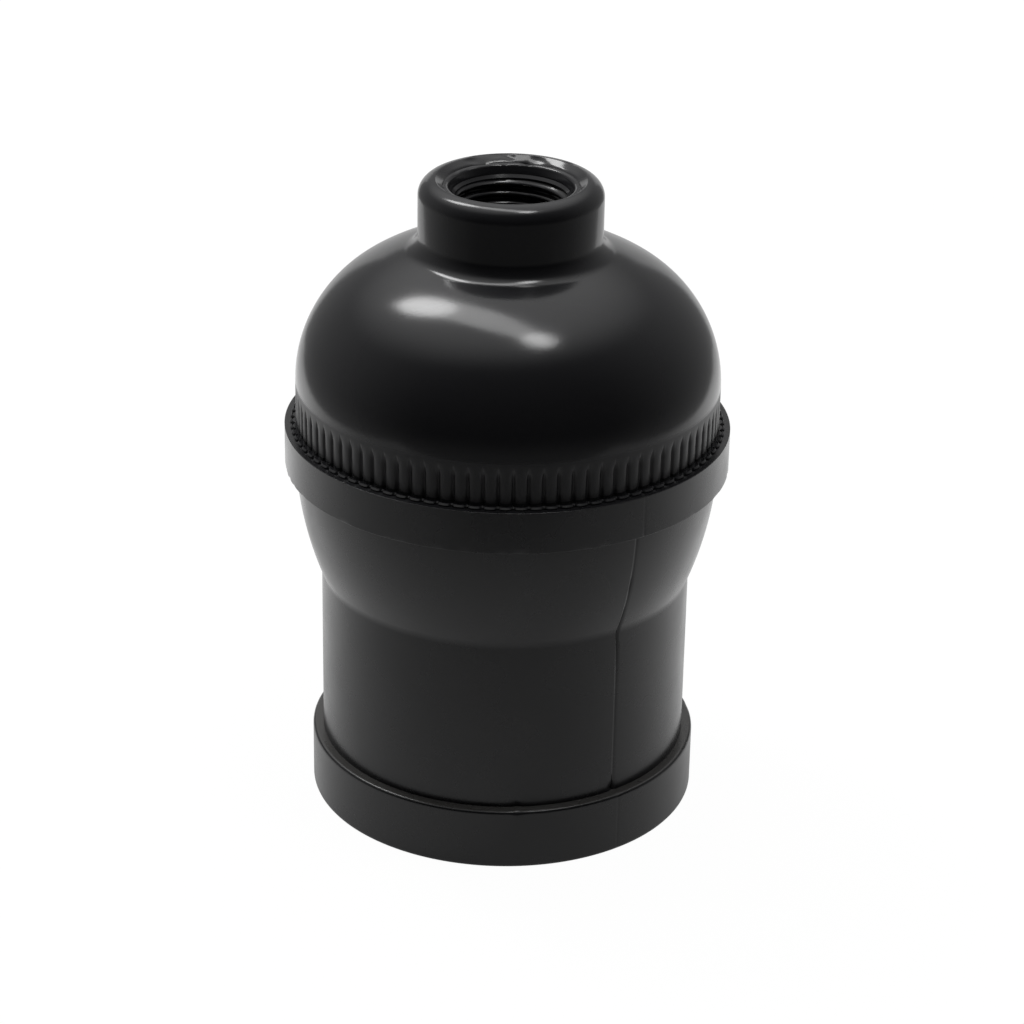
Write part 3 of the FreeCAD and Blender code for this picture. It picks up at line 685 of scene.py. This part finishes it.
def stamped_plate(node, material, slot):
    """The frame's own plate with the broken edge that stamping and tumbling leave."""
    plate = loose_piece(node + "_stamped", bpy.data.objects[node].data.copy())
    plate.data.transform(Matrix.Scale(1 / MM, 4))
    shell = bmesh.new()
    shell.from_mesh(plate.data)
    bmesh.ops.remove_doubles(shell, verts=shell.verts, dist=0.002)
    bmesh.ops.dissolve_limit(shell, angle_limit=math.radians(0.5), verts=shell.verts, edges=shell.edges)
    shell.to_mesh(plate.data)
    shell.free()
    edge = plate.modifiers.new("broken_edge", "BEVEL")
    edge.width = 0.08
    edge.segments = 2
    edge.angle_limit = math.radians(40)
    settle_modifiers(plate)
    finish_piece(plate, material, "base", slot, node, crease=30)


def binding_screw(side, material, slot):
    """A slotted binding-head screw, 6-32, with its thread cut up to the head."""
    node = side + "_screw"
    low, high = corners_of(node)
    axis = (low + high) / 2
    head_radius = (high.x - low.x) / 2
    head_height = 1.7
    head_side = 1.15                # height at which the head's crown begins
    shank_radius = 1.7
    thread_depth = 0.2
    slot_width = 0.9
    slot_depth = 1.0
    head_seat = high.z - head_height
    mean_radius = shank_radius - thread_depth / 2
    outline = [Vector((0, low.z))]
    outline += rounded_outline([(0, low.z), (mean_radius, low.z, 0.2), (mean_radius, head_seat)])[1:-1]
    outline += straight_points(outline[-1], (mean_radius, head_seat), 0.07)[1:]
    outline += rounded_outline([
        (mean_radius, head_seat), (head_radius, head_seat, 0.12),
        (head_radius, head_seat + head_side, 0.35), (head_radius * 0.45, high.z, 1.5), (0, high.z),
    ])
    screw = loose_piece(node + "_turned", turned_mesh(node, [(even_turns(64), outline)]))
    shape_with(screw, rolled_wave, {
        "Pitch": 25.4 / 32, "Swing": thread_depth / 2, "Start": low.z + 0.5, "Finish": head_seat - 0.25,
        "Fade": 0.3, "Inner Radius": shank_radius - thread_depth, "Outer Radius": shank_radius,
        "Material": material,
    })
    slot_cutter = block((0, 0, high.z), (3 * head_radius, slot_width, 2 * slot_depth))
    cut_away(screw, plain_mesh("slot", slot_cutter))
    screw.data.transform(Matrix.Translation((axis.x, axis.y, 0)))
    finish_piece(screw, material, node, slot, node, crease=32)


stamped_plate("line_terminal", stamped_brass, "terminal_brass")
stamped_plate("neutral_terminal", nickel_plate, "terminal_nickel")
binding_screw("line", turned_brass, "screw_brass")
binding_screw("neutral", nickel_plate, "screw_nickel")


# ---- rivets ----------------------------------------------------------------------------
# Brass rivets set from below: a low round head under the web, and a rolled-over end above it that
# leaves the hole of the tube open. Each one clamps what is stacked at its place.

rivet_head_radius = 1.6
rivet_head_height = 0.7
rivet_radius = 1.1
tube_radius = rivet_radius - 0.35   # the open hole, and how deep it is
tube_depth = 0.6
plug_radius = rivet_radius - 0.15   # what reaches from the rolled end into the shank
plug_depth = 0.8


def rivet_tree():
    """Geometry Nodes that set one rivet at each point: the rolled end at the point, the round head
    below it by the point's own grip, and a shank between them."""
    inputs = {"Rolled End": "Object", "Round Head": "Object", "Shank Radius": "Float"}
    tree, sizes = start_tree("set_rivets", inputs)
    grip = add(tree, "GeometryNodeInputNamedAttribute", {"Name": "grip"}, data_type="FLOAT").outputs[0]
    points = add(tree, "GeometryNodeMeshToPoints", {"Mesh": sizes["Geometry"]})
    shank = add(tree, "GeometryNodeMeshCylinder", {
        "Vertices": 32, "Radius": sizes["Shank Radius"], "Depth": 1.0,
    }).outputs["Mesh"]
    rolled, head = (
        add(tree, "GeometryNodeObjectInfo", {"Object": sizes[shape]}).outputs["Geometry"]
        for shape in ("Rolled End", "Round Head")
    )
    joined = add(tree, "GeometryNodeJoinGeometry")
    for part, drop, stretch in ((rolled, 0.0, 1.0), (head, -1.0, 1.0), (shank, -0.5, grip)):
        down = add(tree, "ShaderNodeMath", {0: grip, 1: drop}, operation="MULTIPLY")
        offset = add(tree, "ShaderNodeCombineXYZ", {"Z": down})
        places = add(tree, "GeometryNodeSetPosition", {"Geometry": points, "Offset": offset})
        scale = add(tree, "ShaderNodeCombineXYZ", {"X": 1.0, "Y": 1.0, "Z": stretch})
        placed = add(tree, "GeometryNodeInstanceOnPoints", {
            "Points": places, "Instance": part, "Scale": scale,
        }).outputs[0]
        tree.links.new(placed, joined.inputs[0])
    return end_tree(tree, joined, sizes["Material"])


rivet_brass = worked_metal("rivet_brass", "#cfa95a", "#96733a", roughness=0.26)
rolled_outline = [Vector((0, -tube_depth))]
rolled_outline += rounded_outline([
    (0, -tube_depth), (tube_radius, -tube_depth), (tube_radius, rivet_head_height, 0.3),
    (rivet_head_radius, rivet_head_height, 0.45), (rivet_head_radius, 0, 0.1), (0, 0),
])[1:-1]
rolled_outline += [Vector((plug_radius, 0)), Vector((plug_radius, -plug_depth)), Vector((0, -plug_depth))]
rolled_end = loose_piece("rolled_end", turned_mesh("rolled_end", [(even_turns(40), rolled_outline)]))
round_head = loose_piece("round_head", turned_mesh("round_head", [(even_turns(40), rounded_outline([
    (0, 0), (rivet_head_radius, 0, 0.1), (rivet_head_radius, -0.3, 0.15), (0.7, -rivet_head_height, 0.8),
    (0, -rivet_head_height),
]))]))
rivet_nodes = ("line_rivet", "neutral_rivet", "shell_rivet")
seats = bpy.data.meshes.new("rivets")
corners = [corners_of(node) for node in rivet_nodes]
seats.from_pydata([
    ((low.x + high.x) / 2, (low.y + high.y) / 2, high.z - rivet_head_height) for low, high in corners
], [], [])
grips = seats.attributes.new("grip", "FLOAT", "POINT")
for at, (low, high) in enumerate(corners):
    grips.data[at].value = high.z - low.z - 2 * rivet_head_height
rivets = loose_piece("rivets_headed", seats)
shape_with(rivets, rivet_tree(), {
    "Rolled End": rolled_end, "Round Head": round_head, "Shank Radius": rivet_radius,
    "Material": rivet_brass,
})
for shape in (rolled_end, round_head):
    bpy.data.objects.remove(shape)
finish_piece(rivets, rivet_brass, "base", "rivet_brass", *rivet_nodes)


# ---- cap -------------------------------------------------------------------------------
# The second moulding, in glossier black phenolic: a threaded skirt that screws into the collar, a band
# of grip ribs, the dome over the wiring, and the neck, tapped for lamp pipe, that the whole holder
# hangs from.

cap_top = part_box("cap")[1].z / MM
skirt_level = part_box("cap")[0].z / MM
skirt_thickness = 1.6
cap_setback = 1.0
foot_lip = 0.5
band_height = 4.04
low_dome = 12.0                     # radii of the dome's two arcs, and where one takes over from the other
high_dome = 16.28
dome_turn = 55.6
dome_wall = 3.0
neck_radius = 8.1
neck_fillet = 1.75
neck_round = 1.5
bore_crest = mounts["neck_thread"]["dims"]["r_mm"]
pipe_pitch = 25.4 / 27
pipe_swing = 0.23
lip_radius = 5.78                   # the countersink's lower edge
lip_depth = 0.52
lip_round = 0.4
ceiling_turn = 72                   # where the chamber's dome ends, in degrees
rib_count = 92
rib_crown = 0.05
groove_depth = 0.2
groove_runout = 1.2
groove_edge = 0.21                  # half a groove's width, as a share of a rib's space
groove_tip = 0.1                    # and the same where it runs out
rib_steps = (0, 0.13, 0.23, 0.29, 0.34, 0.38, 0.42, 0.46, 0.5, 0.54, 0.58, 0.62, 0.66, 0.71, 0.77, 0.87)

skirt_inner = skirt_radius - skirt_thickness
band_radius = collar_radius - cap_setback
foot_radius = band_radius + foot_lip
band_level = socket_height + band_height
groove_top = band_level - 0.3
rim_radius = neck_radius - neck_round
bore_root = bore_crest + 2 * pipe_swing
bore_mean = bore_crest + pipe_swing


def grip_tree():
    """Geometry Nodes that press grooves into the band and crown the ribs between. Each point on the
    band or its foot moves in by a share of the depth, which rises from the edges of its groove to the
    middle. The depth runs out towards the groove's top, and the groove narrows there."""
    numbers = ("Ribs", "Band Radius", "Depth", "Top", "Run-out", "Tip Edge", "Edge", "Crown")
    tree, sizes = start_tree("grip_grooves", dict.fromkeys(numbers, "Float"))
    height, radius, outward, direction = around_axis(tree)
    from_middle = direction
    for step, by in (
        ("DIVIDE", 2 * math.pi), ("MULTIPLY", sizes["Ribs"]), ("FRACT", 0.5), ("SUBTRACT", 0.5),
        ("ABSOLUTE", 0.5),
    ):
        from_middle = add(tree, "ShaderNodeMath", {0: from_middle, 1: by}, operation=step)
    full = add(tree, "ShaderNodeMath", {0: sizes["Top"], 1: sizes["Run-out"]}, operation="SUBTRACT")
    up = add(tree, "ShaderNodeMapRange", {
        "Value": height, "From Min": sizes["Top"], "From Max": full,
    }, interpolation_type="SMOOTHSTEP")
    half_width = add(tree, "ShaderNodeMapRange", {
        "Value": up, "To Min": sizes["Tip Edge"], "To Max": sizes["Edge"],
    })
    across = add(tree, "ShaderNodeMapRange", {
        "Value": from_middle, "From Min": half_width, "From Max": 0.0,
    }, interpolation_type="SMOOTHSTEP")
    off_crown = add(tree, "ShaderNodeMapRange", {
        "Value": from_middle, "From Min": 0.5, "From Max": sizes["Edge"],
    })
    crowned = off_crown
    for by in (off_crown, sizes["Crown"]):
        crowned = add(tree, "ShaderNodeMath", {0: crowned, 1: by}, operation="MULTIPLY")
    inner = add(tree, "ShaderNodeMath", {0: sizes["Band Radius"], 1: wall_skin}, operation="SUBTRACT")
    on_band = add(tree, "ShaderNodeMath", {0: radius, 1: inner}, operation="GREATER_THAN")
    sunk = across
    for step, by in (
        ("MULTIPLY", sizes["Depth"]), ("ADD", crowned), ("MULTIPLY", up), ("MULTIPLY", on_band),
        ("MULTIPLY", -1.0),
    ):
        sunk = add(tree, "ShaderNodeMath", {0: sunk, 1: by}, operation=step)
    shift = add(tree, "ShaderNodeVectorMath", {0: outward, "Scale": sunk}, operation="SCALE")
    moved = add(tree, "GeometryNodeSetPosition", {"Geometry": sizes["Geometry"], "Offset": shift})
    return end_tree(tree, moved, sizes["Material"])


cap_phenolic = moulded_phenolic(
    "polished_phenolic", "#242426", roughness=0.16, unevenness=0.03,
    dull_band=(socket_height + 0.25, band_level + 0.2),
)

low_centre = Vector((band_radius - low_dome, band_level))
turn = math.radians(dome_turn)
high_centre = low_centre - Vector((math.cos(turn), math.sin(turn))) * (high_dome - low_dome)
fillet_across = neck_radius + neck_fillet
fillet_rise = math.sqrt((high_dome + neck_fillet) ** 2 - (fillet_across - high_centre.x) ** 2)
fillet_centre = Vector((fillet_across, high_centre.y + fillet_rise))
fillet_turn = math.degrees(math.atan2(fillet_rise, fillet_across - high_centre.x))

skirt = rounded_outline([
    (skirt_inner, band_level), (skirt_inner, skirt_level, 0.3), (skirt_radius, skirt_level, 0.35),
    (skirt_radius, socket_height - 0.3),
])[1:-1]
skirt_wall = straight_points(skirt[-1], (skirt_radius, socket_height - 0.2), 0.16)[1:]
seat = rounded_outline([
    (skirt_radius, skirt_level), (skirt_radius, socket_height, 0.15), (foot_radius, socket_height),
])[1:-1]
foot = [                            # a small ring round the foot, and a trough between it and the band
    Vector((foot_radius - inward, socket_height + up)) for inward, up in (
        (0.04, 0), (0, 0.04), (0, 0.11), (0.13, 0.24), (0.2, 0.15), (foot_lip, 0.13), (foot_lip, 0.3),
    )
]
band = straight_points((band_radius, socket_height + 0.9), (band_radius, groove_top - groove_runout), 0.7)
band += straight_points((band_radius, groove_top - groove_runout), (band_radius, groove_top + 0.05), 0.12)
dome = [Vector((band_radius, groove_top + 0.1))]
dome += arc_points(low_centre, low_dome, 0, dome_turn, 22)[:-1]
dome += arc_points(high_centre, high_dome, dome_turn, fillet_turn, 9)[:-1]
dome += arc_points(fillet_centre, neck_fillet, fillet_turn + 180, 180, 14)
dome += arc_points((neck_radius - neck_round, cap_top - neck_round), neck_round, 0, 80, 14)
mouth = rounded_outline([
    tuple(dome[-1]), (rim_radius, cap_top, 0.15), (lip_radius, cap_top - lip_depth),
])[1:-1]
mouth += straight_points(mouth[-1], (lip_radius, cap_top - lip_depth), 0.18)[1:]
mouth += arc_points((lip_radius, cap_top - lip_depth - lip_round), lip_round, 80, 172, 8)
mouth += [Vector((across, cap_top - down)) for across, down in (
    (bore_root, 1.2), (bore_root, 1.35), (bore_mean, 1.6),
)]
turn = math.radians(ceiling_turn)
ceiling = high_centre + Vector((math.cos(turn), math.sin(turn))) * (high_dome - dome_wall)
bore = straight_points(mouth[-1], (bore_mean, ceiling.y + 0.3), 0.08)[1:]
chamber = rounded_outline([
    (bore_mean, cap_top), (bore_mean, ceiling.y, 0.2), (ceiling.x, ceiling.y),
])[1:-1]
chamber += arc_points(high_centre, high_dome - dome_wall, ceiling_turn, dome_turn, 4)
chamber += arc_points(low_centre, low_dome - dome_wall, dome_turn, 16, 8)[1:]
chamber += [Vector((skirt_inner, band_level + 0.6)), Vector((skirt_inner, band_level - 1))]
grip_turns = [(rib + step) * 2 * math.pi / rib_count for rib in range(rib_count) for step in rib_steps]
cap = loose_piece("cap_moulding", turned_mesh("cap_moulding", [
    (even_turns(180), skirt), (even_turns(240), skirt_wall + seat), (grip_turns, foot + band),
    (even_turns(276), dome + mouth), (even_turns(144), bore + chamber),
]))

# the countersink has torn a little at the back, where the tap broke out
torn_depth = 0.3
for vertex in cap.data.vertices:
    across = Vector(vertex.co[:2])
    if vertex.co.z > cap_top - lip_depth - 0.1 and across.length < rim_radius + 0.2:
        turn = math.atan2(across.y, across.x)
        at_back = max(0, math.cos(turn - math.radians(90))) ** 3
        vertex.co.z -= torn_depth * max(0, uneven(4 * turn, 1.6 * across.length, 0.7)) * at_back
shape_with(cap, grip_tree(), {
    "Ribs": float(rib_count), "Band Radius": band_radius, "Depth": groove_depth, "Top": groove_top,
    "Run-out": groove_runout, "Tip Edge": groove_tip, "Edge": groove_edge, "Crown": rib_crown,
    "Material": cap_phenolic,
})
shape_with(cap, rolled_wave, {
    **collar_thread, "Inner Radius": skirt_radius - wall_skin, "Outer Radius": skirt_radius + wall_skin,
    "Material": cap_phenolic,
})
shape_with(cap, rolled_wave, {
    "Pitch": pipe_pitch, "Swing": pipe_swing, "Start": ceiling.y + 1, "Finish": cap_top - 2.0, "Fade": 0.35,
    "Inner Radius": 0.0, "Outer Radius": bore_root, "Material": cap_phenolic,
})
finish_piece(cap, cap_phenolic, "cap", "cap_phenolic", "cap")


# ---- table, backdrop and light ---------------------------------------------------------
# A white card to stand on that turns up behind, three soft lamps in a line overhead, and a dim room:
# pale at the ceiling, grey at the sides and dark where the camera stands.

card_front = -0.085
card_back = 0.17
card_side = 0.125
backdrop_foot = 0.09                # half widths at the foot and the top
backdrop_head = 0.11
backdrop_lean = 0.12
backdrop_rise = 0.13


def white_card(name, lift):
    """Matt white card. The eye sees it as white, with a trace of its shadows. In gloss it glows with
    painted light: darker to the front as painted shade for the holder's shadow, white towards the back, and
    dimmer again at the far end."""
    material, tree, surface = start_material(name)
    surface.inputs["Base Color"].default_value = linear("#b6b6b6")
    surface.inputs["Roughness"].default_value = 0.9
    surface.inputs["Specular IOR Level"].default_value = 0.1
    place = add(tree, "ShaderNodeTexCoord").outputs["Object"]
    # painted light seen in gloss: a glow that is darker to the front, for the holder's shadow, and brighter
    # behind
    depth = add(tree, "ShaderNodeSeparateXYZ", {0: place}).outputs["Y"]
    towards_back = add(tree, "ShaderNodeMapRange", {
        "Value": depth, "From Min": -0.07, "From Max": 0.07, "To Min": 0.0, "To Max": 0.95,
    }, interpolation_type="SMOOTHSTEP")
    far_back = add(tree, "ShaderNodeMapRange", {
        "Value": depth, "From Min": 0.07, "From Max": 0.15, "To Min": 1.0, "To Max": 0.5,
    }, interpolation_type="SMOOTHSTEP")
    painted_gloss_light = add(tree, "ShaderNodeMath", {0: towards_back, 1: far_back}, operation="MULTIPLY")
    rays = add(tree, "ShaderNodeLightPath").outputs
    mirrored = rays["Is Glossy Ray"]
    for step, by in (("MAXIMUM", rays["Is Transmission Ray"]), ("MULTIPLY", painted_gloss_light)):
        mirrored = add(tree, "ShaderNodeMath", {0: mirrored, 1: by}, operation=step)
    share = rays["Is Camera Ray"]
    for step, by in (("MULTIPLY", lift), ("MAXIMUM", mirrored)):
        share = add(tree, "ShaderNodeMath", {0: share, 1: by}, operation=step)
    strength = add(tree, "ShaderNodeMath", {
        0: mirrored, 1: 0.25, 2: 1.05,
    }, operation="MULTIPLY_ADD")
    glow = add(tree, "ShaderNodeEmission", {"Color": (1, 1, 1, 1), "Strength": strength})
    both = add(tree, "ShaderNodeMixShader", {0: share, 1: surface, 2: glow}).outputs[0]
    tree.links.new(both, tree.nodes["Material Output"].inputs["Surface"])
    return material


def stage_piece(name, corners, material):
    """One four-sided sheet of the surroundings."""
    mesh = bpy.data.meshes.new(name)
    mesh.from_pydata(corners, [], [(0, 1, 2, 3)])
    mesh.materials.append(material)
    loose_piece(name, mesh)


stage_piece("table", [
    (-card_side, card_front, 0), (card_side, card_front, 0),
    (card_side, card_back, 0), (-card_side, card_back, 0),
], white_card("white_card", 0.93))
stage_piece("backdrop", [
    (-backdrop_foot, card_back, 0), (backdrop_foot, card_back, 0),
    (backdrop_head, card_back + backdrop_lean, backdrop_rise),
    (-backdrop_head, card_back + backdrop_lean, backdrop_rise),
], white_card("white_backdrop", 1.0))

world = bpy.data.worlds.new("dim_room")
bpy.context.scene.world = world
world.use_nodes = True
tree = world.node_tree
room = tree.nodes["Background"]
room.inputs["Color"].default_value = (1, 1, 1, 1)
direction = add(tree, "ShaderNodeTexCoord").outputs["Generated"]
glows = []
for towards, first, last, strength in (
    ((-0.1, 0.3, 1.0), 0.6, 1.02, 0.9),         # ceiling, paler to the back and the left
    ((-0.1, 1.0, 0.0), -0.75, 0.6, 0.26),       # walls
    ((0.0, 0.0, -1.0), 0.05, 0.4, 0.12),        # floor of the room
):
    facing = add(tree, "ShaderNodeVectorMath", {0: direction, 1: towards}, operation="DOT_PRODUCT")
    glows.append(add(tree, "ShaderNodeMapRange", {
        "Value": facing, "From Min": first, "From Max": last, "To Max": strength,
    }, interpolation_type="SMOOTHSTEP").outputs["Result"])
seen = add(tree, "ShaderNodeLightPath").outputs["Is Camera Ray"]
strength = glows[0]
for step, by in (("ADD", glows[1]), ("ADD", glows[2]), ("MAXIMUM", seen)):
    strength = add(tree, "ShaderNodeMath", {0: strength, 1: by}, operation=step).outputs[0]
tree.links.new(strength, room.inputs["Strength"])


lamp_line = math.radians(140)       # the lamps' line, from behind on the left to the front on the right


def soft_lamp(name, along, size, height, radiance):
    """A soft oval lamp that hangs level and shines down, at a distance along the line of the lamps."""
    data = bpy.data.lights.new(name, "AREA")
    data.shape = "ELLIPSE"
    data.size, data.size_y = size
    data.energy = radiance * math.pi * math.pi / 4 * size[0] * size[1]
    lamp = loose_piece(name, data)
    place = Matrix.Translation((math.cos(lamp_line) * along, math.sin(lamp_line) * along, height))
    lamp.matrix_world = place @ Matrix.Rotation(lamp_line, 4, "Z")


soft_lamp("long_lamp", 0.17, (0.72, 0.12), 0.545, 4.0)
soft_lamp("back_lamp", 0.33, (0.26, 0.14), 0.53, 7.0)
soft_lamp("front_lamp", -0.14, (0.13, 0.12), 0.53, 7.0)


# ---- camera ----------------------------------------------------------------------------
# It looks down a little on the holder's middle, and is turned a degree on its own axis.

elevation = math.radians(25.117)
roll = math.radians(1.015)
distance = 0.284276
look_at = Vector((0.000548, 0, 0.026732))
back = Vector((0, -math.cos(elevation), math.sin(elevation)))
level_up = Vector((0, math.sin(elevation), math.cos(elevation)))
right = Vector((math.cos(roll), 0, 0)) + level_up * math.sin(roll)
up = Vector((-math.sin(roll), 0, 0)) + level_up * math.cos(roll)
camera_data = bpy.data.cameras.new("camera")
camera_data.sensor_width = 36.0
camera_data.lens = 110.48
camera = loose_piece("camera", camera_data)
facing = Matrix((right, up, back)).transposed().to_4x4()
camera.matrix_world = Matrix.Translation(look_at + back * distance) @ facing
bpy.context.scene.camera = camera
bpy.context.scene.view_settings.view_transform = "Standard"
